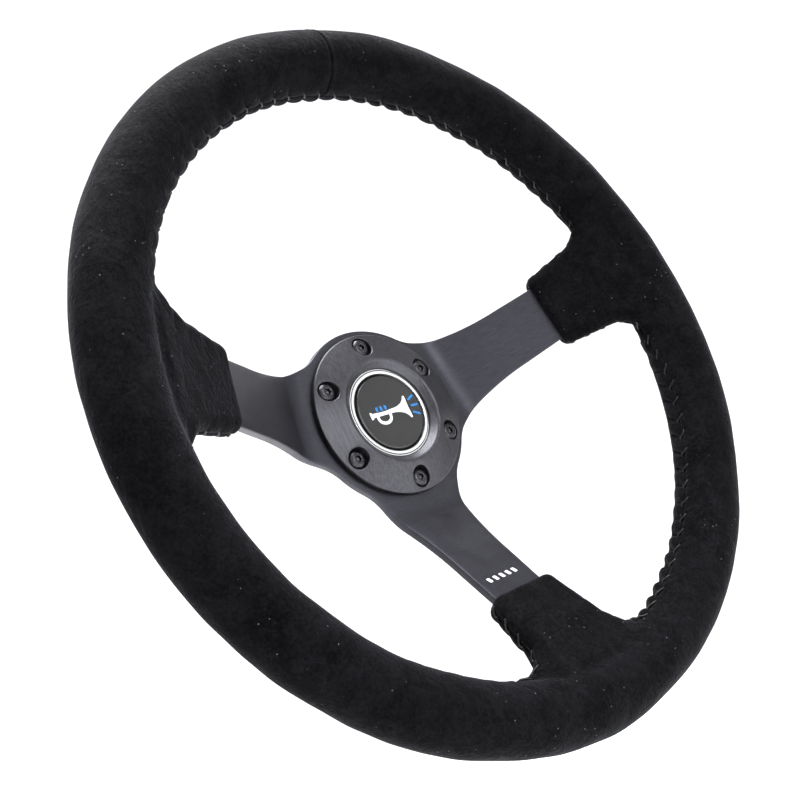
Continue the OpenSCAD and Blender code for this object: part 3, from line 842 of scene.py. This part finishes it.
# ------------------------------------------------------------------ spoke plate
def plate_outline(gap=0.9):
    """The pressed plate seen by the driver: hub disc, three waisted spokes, fillets between. Counterclockwise."""
    F, fr = np.array(FLANK[:2]), FLANK[2]
    r0, r1 = HUB_R + FILLET, fr - FILLET
    d = np.linalg.norm(F)
    a = (r0 * r0 - r1 * r1 + d * d) / (2 * d)
    hh = math.sqrt(r0 * r0 - a * a)
    u = F / d
    c = np.array([u[0] * a + u[1] * hh, u[1] * a - u[0] * hh])
    t1 = c * HUB_R / r0
    t2 = F + (c - F) / np.linalg.norm(c - F) * fr
    half = []                                   # from the tip to the hub, on the +w side
    half += [(s, 14.2 + (16.0 - 14.2) * (150 - s) / (150 - FLANK[0]) * 1.0) for s in np.linspace(150, FLANK[0], 40)]
    a0, a1 = -PI / 2, math.atan2(t2[1] - F[1], t2[0] - F[0])
    half += [(F[0] + fr * math.cos(t), F[1] + fr * math.sin(t)) for t in np.linspace(a0, a1, 26)[1:]]
    a0, a1 = math.atan2(t2[1] - c[1], t2[0] - c[0]), math.atan2(t1[1] - c[1], t1[0] - c[0])
    if a0 > a1:
        a0, a1 = a0, a1
    while a1 - a0 > PI:
        a1 -= 2 * PI
    while a1 - a0 < -PI:
        a1 += 2 * PI
    half += [(c[0] + FILLET * math.cos(t), c[1] + FILLET * math.sin(t)) for t in np.linspace(a0, a1, 34)[1:]]
    half = np.array(half)
    th = math.atan2(t1[1], t1[0])
    out = []
    for k, ang in enumerate(SPOKES):
        c0, s0 = math.cos(ang), math.sin(ang)
        lo = half[::-1] * (1, -1)
        for s, w in np.concatenate([lo, half[:]]):
            out.append((s * c0 - w * s0, s * s0 + w * c0))
        b = SPOKES[(k + 1) % 3] + (2 * PI if k == 2 else 0) - th
        e = ang + th
        n = max(2, int((b - e) * HUB_R / gap))
        out += [(HUB_R * math.cos(t), HUB_R * math.sin(t)) for t in np.linspace(e, b, n + 1)[1:-1]]
    out = np.array(out)
    keep = [0]
    for i in range(1, len(out)):
        if np.linalg.norm(out[i] - out[keep[-1]]) > 0.05:
            keep.append(i)
    return out[keep]


def bent(p, e):
    """A point of the plate seen from the front, e mm in front of its middle surface, after bending."""
    ang = np.arctan2(p[:, 1], p[:, 0])
    d = np.stack([np.cos(ang - a) for a in SPOKES], 1)
    a = np.array(SPOKES)[np.argmax(d, 1)]
    s = p[:, 0] * np.cos(a) + p[:, 1] * np.sin(a)
    w = -p[:, 0] * np.sin(a) + p[:, 1] * np.cos(a)
    R = BEND_R + PLATE_T / 2
    q = np.arcsin(np.clip((s - BEND_S) / R, 0, math.sin(BEND)))
    y = np.where(s <= BEND_S, -PLATE_T / 2, -(PLATE_T + BEND_R) + R * np.cos(q))
    over = s > BEND_S + R * math.sin(BEND)
    y = np.where(over, y_mid(s), y)
    s2, y2 = s - e * np.sin(q), y - e * np.cos(q)
    return np.stack([s2 * np.cos(a) - w * np.sin(a), y2, s2 * np.sin(a) + w * np.cos(a)], 1)


def build_plate():
    out = plate_outline()
    if ((out[:, 0] * np.roll(out[:, 1], -1)) - np.roll(out[:, 0], -1) * out[:, 1]).sum() < 0:
        out = out[::-1]
    nrm = normals2(out)
    bore = circle(26.0, 180)
    holes = [circle(2.75, 48, (35 * math.cos(t), 35 * math.sin(t))) for t in SCREWS]
    rd = 0.55                                   # edge round
    prof = [(rd * (1 - math.sin(t)), PLATE_T / 2 - rd + rd * math.cos(t)) for t in np.linspace(0, PI / 2, 5)]
    prof = [(i, e) for i, e in prof] + [(0.0, 0.0)] + [(i, -e) for i, e in prof[::-1]]
    verts, faces, rows = [], [], []

    def ring(loop, inward, off, e):
        b = sum(len(x) for x in verts)
        verts.append(bent(loop + inward * off, e))
        return list(range(b, b + len(loop)))

    loops = [(out, nrm)] + [(h, -normals2(h)) for h in [bore] + holes]
    ends = []
    for lp, inw in loops:
        rr = [ring(lp, inw, i, e) for i, e in prof]
        for a, b in zip(rr[:-1], rr[1:]):
            faces.extend(bridge(a, b))
        ends.append((lp + inw * prof[0][0], rr[0], rr[-1]))
    g = np.arange(-160, 160, 2.6)
    X, Z = np.meshgrid(g, g)
    X = X + (np.arange(len(g))[:, None] % 2) * 1.3
    ext = np.stack([X.ravel(), Z.ravel()], 1)
    # stations across each spoke at the bend, so that the curve is smooth
    for a in SPOKES:
        for s in np.linspace(44.5, 58.0, 15):
            for w in np.arange(-40, 40.1, 2.0):
                ext = np.vstack([ext, [s * math.cos(a) - w * math.sin(a), s * math.sin(a) + w * math.cos(a)]])
    ok = inside(ext, out + nrm * 1.3)
    for h, *_ in [(bore,)] + [(x,) for x in holes]:
        c = h.mean(0)
        ok &= np.hypot(*(ext - c).T) > np.hypot(*(h[0] - c)) + 1.2
    near_bend = np.zeros(len(ext), bool)
    co, tris = fill(ends[0][0], [e[0] for e in ends[1:]], ext[ok])
    for side, col in ((PLATE_T / 2, 1), (-PLATE_T / 2, 2)):
        b = sum(len(x) for x in verts)
        verts.append(bent(co, side))
        faces.extend([[b + i for i in t] for t in tris])
    make("spoke_plate_pressed", np.concatenate(verts), faces, SPOKE, sharp=32, node="spoke_plate", slot="black_aluminium", weld=0.004)


build_plate()


# ------------------------------------------------------------------ horn ring
CONE, DISHA = math.radians(15.9), math.radians(43)
CREST = (27.3, 8.8)


def cone_h(r):
    return CREST[1] + 2.2 * math.cos(CONE) - (r - CREST[0] - 2.2 * math.sin(CONE)) * math.tan(CONE)


def front_h(r):
    """Height of the ring's front from the dish, over the crest, down the cone and round the edge."""
    r = np.asarray(r, float)
    dx = CREST[0] + 2.2 * math.cos(PI / 2 + DISHA)
    dy = CREST[1] + 2.2 * math.sin(PI / 2 + DISHA)
    cx = CREST[0] + 2.2 * math.sin(CONE)
    dish = dy - (dx - r) * math.tan(DISHA)
    crest = CREST[1] + np.sqrt(np.maximum(2.2 ** 2 - (r - CREST[0]) ** 2, 0))
    cone = CREST[1] + 2.2 * math.cos(CONE) - (r - cx) * math.tan(CONE)
    return np.where(r < dx, dish, np.where(r < cx, crest, cone))


def build_ring():
    """The front is one filled surface with six beveled counterbores; the rest is turned."""
    R1 = 42.0 - 0.9
    n = 288
    verts, faces = [], []

    def add(p2, h):
        b = sum(len(x) for x in verts)
        p2 = np.asarray(p2, float)
        verts.append(np.stack([p2[:, 0], -np.broadcast_to(h, len(p2)), p2[:, 1]], 1))
        return list(range(b, b + len(p2)))

    # outer turned part, from the cone's edge round the side, the back and up the bore to the dish
    dx = CREST[0] + 2.2 * math.cos(PI / 2 + DISHA)
    dy = CREST[1] + 2.2 * math.sin(PI / 2 + DISHA)
    edge = cone_h(41.2) - 0.8
    prof = [(R1, float(front_h(R1)))]
    prof += [(41.2 + 0.8 * math.cos(t), edge + 0.8 * math.sin(t)) for t in np.linspace(PI / 2 - CONE, 0, 7)[0:]]
    prof += [(42.0, 4.5), (41.86, 4.16), (41.5, 4.02), (25.9, 4.02), (25.9, 1.5), (25.6, 1.2), (22.3, 1.2), (22.2, 1.3), (22.2, 2.2), (23.2, 2.2)]
    top = dy - (dx - 23.4) * math.tan(DISHA)
    prof += [(23.2, top - 0.22), (23.26, top - 0.08), (23.42, top + 0.03)]
    rows = [add(circle(r, n), h) for r, h in prof]
    for a, b in zip(rows[:-1], rows[1:]):
        faces.extend(bridge(a, b))
    inner = circle(23.42, n)
    holes = [(35 * math.cos(t), 35 * math.sin(t)) for t in SCREWS]
    m = 80
    # the mouth of each counterbore: an even bevel, then the wall, the floor and the clearance hole
    mouth = [circle(5.2 + 0.30, m, c) for c in holes]
    for c, mo in zip(holes, mouth):
        rr = [add(mo, front_h(np.hypot(mo[:, 0], mo[:, 1])))]
        for off, down in ((0.20, 0.02), (0.10, 0.10), (0.02, 0.24), (0.0, 0.40)):
            p = circle(5.2 + off, m, c)
            rr.append(add(p, front_h(np.hypot(p[:, 0], p[:, 1])) - down))
        p = circle(5.2, m, c)
        rr.append(add(p, 5.8))
        rr.append(add(circle(5.05, m, c), 5.63))
        rr.append(add(circle(4.8, m, c), 5.6))
        rr.append(add(circle(2.95, m, c), 5.6))
        rr.append(add(circle(2.75, m, c), 5.4))
        rr.append(add(circle(2.75, m, c), 4.05))
        for a, b in zip(rr[:-1], rr[1:]):
            faces.extend(bridge(a, b))
    ext = []
    for r in list(np.linspace(24.2, dx - 0.3, 3)) + list(np.linspace(dx, CREST[0] + 2.2 * math.sin(CONE), 14)) + list(np.arange(29.2, R1 - 0.8, 1.1)):
        k = int(2 * PI * r / 1.1)
        ext.append(circle(r, k) if r > 28.5 else circle(r, n))
    ext = np.concatenate(ext)
    ok = np.ones(len(ext), bool)
    for c in holes:
        ok &= np.hypot(*(ext - c).T) > 5.5 + 0.5
    co, tris = fill(circle(R1, n), [inner] + mouth, ext[ok])
    b = sum(len(x) for x in verts)
    rr = np.hypot(co[:, 0], co[:, 1])
    verts.append(np.stack([co[:, 0], -front_h(rr), co[:, 1]], 1))
    faces.extend([[b + i for i in t] for t in tris])
    ob = make("horn_ring_machined", np.concatenate(verts), faces, RING, sharp=40, node="horn_ring", slot="brushed_black", weld=0.003)
    ob.data.materials.append(RING_PAINTED_SHADE)
    # painted shade: the outer side wall and every face behind the front, counterbore floors and bolt holes included,
    # take the darker copy
    for q in ob.data.polygons:
        c = q.center / MM
        r = math.hypot(c.x, c.z)
        if (r > 41.75 and c.y > -6.9) or c.y > -5.9 and r > 24:
            q.material_index = 1


build_ring()


# ------------------------------------------------------------------ screws
def screw():
    """Domed socket screw: flat annulus round a hexagon, dome, plain shank, then a real thread behind the hub."""
    parts = []
    m = 48
    t = np.arange(m) * 2 * PI / m
    hexr = 1.5 / np.cos((t + PI / 6) % (PI / 3) - PI / 6)
    verts, faces = [], []

    def row(r, h):
        b = len(verts)
        r = np.broadcast_to(r, m)
        verts.extend(np.stack([r * np.cos(t), -np.full(m, h), r * np.sin(t)], 1))
        return list(range(b, b + m))

    base, top = 5.6, 8.35
    rows = [row(hexr * 0.30, top - 1.95), row(hexr * 0.97, top - 1.62), row(hexr, top - 1.5), row(hexr, top - 0.28), row(hexr * 1.02 + 0.03, top - 0.14), row(hexr * 0.6 + 0.85, top - 0.02),
            row(2.05, top), row(2.38, top - 0.01)]
    for a in (80, 68, 56, 44, 32, 20, 8):
        q = math.radians(a)
        rows.append(row(2.42 + (4.75 - 2.42) * math.cos(q), base + 0.45 + (2.75 - 0.47) * math.sin(q)))
    rows += [row(4.75, base + 0.38), row(4.70, base + 0.08), row(4.60, base + 0.01), row(2.4, base + 0.01), row(2.4, 0.05), row(2.4, -0.02)]
    for a, b in zip(rows[:-1], rows[1:]):
        faces.extend(bridge(a, b))
    faces.append(rows[0][::-1])
    faces.append(rows[-1])
    parts.append((np.array(verts), faces))
    # thread
    k, pitch, step_ = 40, 0.8, 8
    hs = np.arange(0.0, -10.4 - 1e-6, -pitch / step_)
    ph = np.arange(k) * 2 * PI / k
    v, f = [], []
    for i, h in enumerate(hs):
        w = (h / pitch - ph / (2 * PI)) % 1.0
        tri = np.abs(w * 2 - 1)
        r = 2.5 - 0.46 * np.clip((tri - 0.06) / 0.82, 0, 1)
        r = np.minimum(r, 2.5 - np.clip(-9.7 - h, 0, 1) * 0.9)
        r = np.where(h > -0.35, np.minimum(r, 2.3), r)
        v.extend(np.stack([r * np.cos(ph), np.full(k, -h), r * np.sin(ph)], 1))
        if i:
            f += bridge(list(range((i - 1) * k, i * k)), list(range(i * k, (i + 1) * k)))
    f.append(list(range(k))[::-1])
    f.append([(len(hs) - 1) * k + j for j in range(k)])
    parts.append((np.array(v), f))
    return join(parts)


sc = screw()
spins = [0.35, 1.9, 0.8, 2.6, 1.2, 0.1]
make("ring_screws_m5", *join([moved(moved(sc, turn=spins[i]), at=(35, 0, 0), turn=t) for i, t in enumerate(SCREWS)]), SCREW, sharp=38, node="ring_screws", slot="black_steel")

# ------------------------------------------------------------------ horn button
CS = soft_corner
trim = CS([(19.75, 6.0, 0), (22.8, 6.0, 0.1), (22.8, 7.45, 0.35)], closed=False) + [(22.38, 7.5), (22.3, 7.2), (22.12, 7.1), (21.94, 7.2), (21.86, 7.56)] + CS([(21.5, 7.57), (20.55, 7.6, 0.2), (19.75, 6.9, 0.1), (19.75, 6.0)], closed=False, seg=7)[1:-1]
ob = make("trim_ring_chrome", *lathe(trim, 256), CHROME, sharp=30, node="trim_ring", slot="chrome")
ob.data.materials.append(CHROME_PAINTED_SHADE)
# painted shade: the groove, the inner edge and the outer side of the chrome trim ring take the dark finish
for q in ob.data.polygons:
    c = q.center / MM
    r = math.hypot(c.x, c.z)
    if r < 20.5 or (21.88 < r < 22.36 and c.y < -7.05) or (r > 22.7 and c.y > -7.3):
        q.material_index = 1
rr0 = ((19.4 - 0.9) ** 2 + 0.36) / 1.2
dome = [(0, 7.0), (19.35, 7.0)] + [(18.45 + 0.9 * math.cos(math.radians(a)), 7.2 + 0.9 * math.sin(math.radians(a))) for a in np.linspace(0, 84, 9)]
a1 = math.asin(18.5 / rr0)
dome += [(rr0 * math.sin(a), 8.7 - rr0 + rr0 * math.cos(a)) for a in a1 * (1 - np.arange(1, 21) / 20)]
make("cap_dome_gloss", *lathe(dome, 256), GLOSS, sharp=40, body="button", node="cap_dome", slot="gloss_black")
house = CS([(22.8, 5.99, 0.08), (19.75, 5.99, 0), (19.75, 4.8, 0.15), (20.9, 4.8, 0), (20.9, -5.05, 0), (21.4, -5.05, 0), (21.4, -6.05, 0), (20.9, -6.05, 0), (20.9, -7.0, 0.25), (22.0, -7.0, 0.35), (22.0, 2.25, 0), (22.8, 2.25, 0.2), (22.8, 3.2, 0.1), (22.0, 3.2, 0), (22.0, 4.6, 0), (22.8, 4.6, 0.1)], seg=4)
make("button_housing_moulded", *lathe(house, 192), PLASTIC, sharp=40, node="button_housing", slot="black_plastic")


# ------------------------------------------------------------------ print on the button and the spoke
def dome_h(r):
    return 8.7 - rr0 + np.sqrt(rr0 * rr0 - np.asarray(r) ** 2)


def inlay(name, outline, holes, mat, lift, body, h_of, thick=0.03, dens=0.8):
    """A thin printed shape laid on a surface; h_of gives the surface's height at points seen from the front."""
    outline = np.asarray(outline, float)
    if ((outline[:, 0] * np.roll(outline[:, 1], -1)) - np.roll(outline[:, 0], -1) * outline[:, 1]).sum() < 0:
        outline = outline[::-1]
    lo, hi = outline.min(0), outline.max(0)
    X, Z = np.meshgrid(np.arange(lo[0], hi[0], dens), np.arange(lo[1], hi[1], dens))
    ext = np.stack([X.ravel(), Z.ravel()], 1)
    ok = inside(ext, outline)
    d = np.min(np.linalg.norm(ext[:, None] - outline[None], axis=2), 1)
    for h in holes:
        ok &= ~inside(ext, np.asarray(h, float))
        d = np.minimum(d, np.min(np.linalg.norm(ext[:, None] - np.asarray(h)[None], axis=2), 1))
    co, tris = fill(outline, holes, ext[ok & (d > dens * 0.4)])
    n = len(co)
    verts = np.concatenate([h_of(co, lift), h_of(co, lift - thick)])
    faces = [list(t) for t in tris] + [[i + n for i in t[::-1]] for t in tris]
    cnt = {}
    for t in tris:
        for a, b in zip(t, t[1:] + t[:1]):
            cnt[(a, b)] = cnt.get((a, b), 0) + 1
    for a, b in cnt:
        if (b, a) not in cnt:
            faces.append([a, b, b + n, a + n][::-1])
    return make(name, verts, faces, mat, sharp=40, body=body, fix=True)


def on_dome(p, lift):
    r = np.hypot(p[:, 0], p[:, 1])
    return np.stack([p[:, 0], -(dome_h(r) + lift), p[:, 1]], 1)


def stroke(pts, w, cap=8):
    """Outline of a line of the given width with round ends."""
    pts = np.asarray(pts, float)
    d = np.gradient(pts, axis=0)
    d /= np.linalg.norm(d, axis=1)[:, None]
    n = np.stack([-d[:, 1], d[:, 0]], 1)
    w = np.broadcast_to(w, len(pts))[:, None] / 2
    a, b = pts + n * w, pts - n * w
    th0 = math.atan2(n[-1, 1], n[-1, 0])
    e1 = [pts[-1] + w[-1] * np.array([math.cos(th0 - PI * k / cap), math.sin(th0 - PI * k / cap)]) for k in range(1, cap)]
    th1 = math.atan2(-n[0, 1], -n[0, 0])
    e0 = [pts[0] + w[0] * np.array([math.cos(th1 - PI * k / cap), math.sin(th1 - PI * k / cap)]) for k in range(1, cap)]
    return np.concatenate([a, e1, b[::-1], e0])


def emblem():
    """A plain horn sign: a bugle with a flared bell and a loop of tube, and three sound lines."""
    k = 1.5
    bell = [(1.2, 0.75), (3.2, 1.05), (5.0, 1.75), (6.2, 2.75), (6.9, 3.9), (7.6, 3.9), (7.6, -3.9), (6.9, -3.9), (6.2, -2.75), (5.0, -1.75), (3.2, -1.05), (1.2, -0.75)]
    tube = [(-7.8, 0.75), (1.25, 0.75), (1.25, -0.75), (-7.8, -0.75)]
    horn = [(-7.8, 0.7), (-8.2, 1.25), (-8.8, 1.25), (-8.8, -1.25), (-8.2, -1.25), (-7.8, -0.7), (1.2, -0.75)] + bell[::-1][1:-1] + [(1.2, 0.75)]
    horn = CS([(x * k, y * k, 0.35) for x, y in horn], seg=3)
    inlay("emblem_horn", horn, [], WHITE_INK, 0.03, "button", on_dome)
    t = np.linspace(0, PI, 30)
    loop = np.stack([-3.6 + 2.6 * np.cos(t) * 1.0, -0.9 - 2.5 * np.sin(t) ** 0.8], 1) * k
    inlay("emblem_loop", stroke(loop, 1.05 * k), [], WHITE_INK, 0.03, "button", on_dome)
    for i, (x, y) in enumerate(((-5.4, 0.95), (-3.6, 0.95), (-1.8, 0.95))):
        inlay(f"emblem_valve{i}", CS([((x - .45) * k, y * k, 0), ((x + .45) * k, y * k, 0), ((x + .45) * k, 2.5 * k, .2), ((x - .45) * k, 2.5 * k, .2)], seg=3), [], BLUE_INK, 0.03, "button", on_dome, dens=0.5)
    for i, a in enumerate((-24, 0, 24)):
        q = math.radians(a)
        s = [((6.0 + r * math.cos(q)) * k, r * math.sin(q) * k) for r in np.linspace(3.1, 5.6, 6)]
        if i != 1:
            s = [(x, y + (1.5 if i == 2 else -1.5)) for x, y in s]
        inlay(f"emblem_sound{i}", stroke(s, 0.75 * k), [], BLUE_INK, 0.03, "button", on_dome, dens=0.5)


emblem()


def on_spoke(p, lift):
    return bent(p, PLATE_T / 2 + lift)


def spoke_mark():
    """Five short slanted bars, low on the bottom spoke; no letters."""
    a = SPOKES[2]
    for i in range(5):
        w = -10.4 + 4.1 * i
        quad = [(94.0, w), (94.0, w + 1.9), (96.3, w + 2.7), (96.3, w + 0.8)]
        pts = [(s * math.cos(a) - v * math.sin(a), s * math.sin(a) + v * math.cos(a)) for s, v in quad]
        inlay(f"spoke_mark{i}", CS([(x, y, 0.25) for x, y in pts], seg=3), [], WHITE_INK, 0.02, "wheel", on_spoke, dens=0.9)


spoke_mark()


# ------------------------------------------------------------------ return spring
def build_spring():
    w, r0 = 0.5, 8.7
    lo, hi = -2.5 + w + 0.02, 5.2 - w - 0.02
    turns, per, m = 4, 48, 12
    n = turns * per
    verts, faces = [], []
    for k in range(n + 1):
        a = 2 * PI * k / per
        u = k / n
        # closed ends: the first and last half turn lie flatter
        q = u + 0.018 * math.sin(2 * PI * u) * -1
        h = lo + (hi - lo) * q
        for j in range(m):
            b = 2 * PI * j / m
            r = r0 + w * math.cos(b)
            verts.append((r * math.cos(a), -(h + w * math.sin(b)), r * math.sin(a)))
        if k:
            faces += bridge(list(range((k - 1) * m, k * m)), list(range(k * m, (k + 1) * m)))
    faces.append(list(range(m))[::-1])
    faces.append([n * m + j for j in range(m)])
    ob = make("return_spring", verts, faces, STEEL, sharp=50, node="horn_spring", slot="spring_steel")
    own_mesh(ob)


build_spring()

FINISH = {
    "rim_hoop": HOOP, "housing_o_ring": RUBBER, "button_cap": PLASTIC, "moving_contact": BRASS,
    "contact_screws": STEEL, "fixed_contact": BRASS, "spring_seat": STEEL, "base_insulator": BOARD,
    "base_circlip": STEEL, "live_terminal": BRASS, "earth_terminal": BRASS, "terminal_rivets": STEEL,
}
for name, mat in FINISH.items():
    ob = NODES[name]
    ob.data.materials.clear()
    ob.data.materials.append(mat)

# ------------------------------------------------------------------ stage
CAM = Matrix(((0.727165, 0.235054, -0.644965, -0.35722),
              (-0.546816, -0.36966, -0.751228, -0.421447),
              (-0.414997, 0.898944, -0.140273, -0.09967),
              (0, 0, 0, 1)))
cam = link(bpy.data.objects.new("camera", bpy.data.cameras.new("camera")))
cam.matrix_world = CAM
cam.data.sensor_width = 36
cam.data.lens = 51.45
cam.data.shift_x = -0.0082
cam.data.shift_y = 0.0677
cam.data.clip_start = 0.01
bpy.context.scene.camera = cam

FLOOR_Z = -0.33


def stage_surface():
    """A pale floor that runs up into a rounded backdrop on every side."""
    m, nt, p = new_mat("pale_sweep")
    g = G(nt)
    v = g.map((20, 20, 20))
    f = g.noise(v, 1.0, 3.0, 0.5)
    g.put(p.inputs["Base Color"], g.mix(f, (0.90, 0.90, 0.90), (0.93, 0.93, 0.93)))
    p.inputs["Roughness"].default_value = 0.95
    p.inputs["Specular IOR Level"].default_value = 0.1
    p.inputs["Emission Color"].default_value = (1, 1, 1, 1)
    p.inputs["Emission Strength"].default_value = 0.21
    R, rc, H = 3.2, 1.2, 3.6
    prof = [(0.0, FLOOR_Z)] + [(r, FLOOR_Z) for r in (0.3, 0.8, 1.4, R - rc)]
    prof += [(R - rc + rc * math.sin(t), FLOOR_Z + rc - rc * math.cos(t)) for t in np.linspace(0, PI / 2, 16)[1:]]
    prof += [(R, FLOOR_Z + H)]
    n = 96
    verts, faces, rows = [], [], []
    for r, z in prof:
        if r == 0:
            rows.append([0] * n)
            verts.append((0, 0, z))
        else:
            rows.append(list(range(len(verts), len(verts) + n)))
            verts += [(r * math.cos(2 * PI * k / n), r * math.sin(2 * PI * k / n), z) for k in range(n)]
    for a, b in zip(rows[:-1], rows[1:]):
        for k in range(n):
            q = [a[k], a[(k + 1) % n], b[(k + 1) % n], b[k]]
            q = [x for j, x in enumerate(q) if x not in q[:j]]
            faces.append(q)
    me = bpy.data.meshes.new("sweep")
    me.from_pydata(verts, [], faces)
    me.polygons.foreach_set("use_smooth", np.ones(len(me.polygons), bool))
    me.materials.append(m)
    ob = link(bpy.data.objects.new("sweep", me))


stage_surface()

world = bpy.data.worlds.new("studio")
bpy.context.scene.world = world
world.use_nodes = True
bg = world.node_tree.nodes["Background"]
bg.inputs["Color"].default_value = (1, 1, 1, 1)
bg.inputs["Strength"].default_value = 0.345


def lamp(name, at, to, size, power, size_y=None, colour=(1, 1, 1)):
    d = bpy.data.lights.new(name, "AREA")
    d.shape = "RECTANGLE"
    d.size = size
    d.size_y = size_y or size
    d.energy = power
    d.color = colour
    ob = link(bpy.data.objects.new(name, d))
    ob.location = at
    ob.rotation_euler = (Vector(to) - Vector(at)).to_track_quat("-Z", "Y").to_euler()
    return ob


mid = Vector((0, -0.04, 0))
lamp("key", (0.06, -0.10, 1.25), mid, 0.9, 70)
lamp("top", (0.06, -0.30, 0.66), Vector((0, -0.06, 0.16)), 0.45, 6.2)
lamp("front", (0.36, -1.55, 0.26), mid, 0.6, 8)

sc_ = bpy.context.scene
sc_.view_settings.view_transform = "Standard"
sc_.view_settings.look = "None"
sc_.view_settings.exposure = 0.0
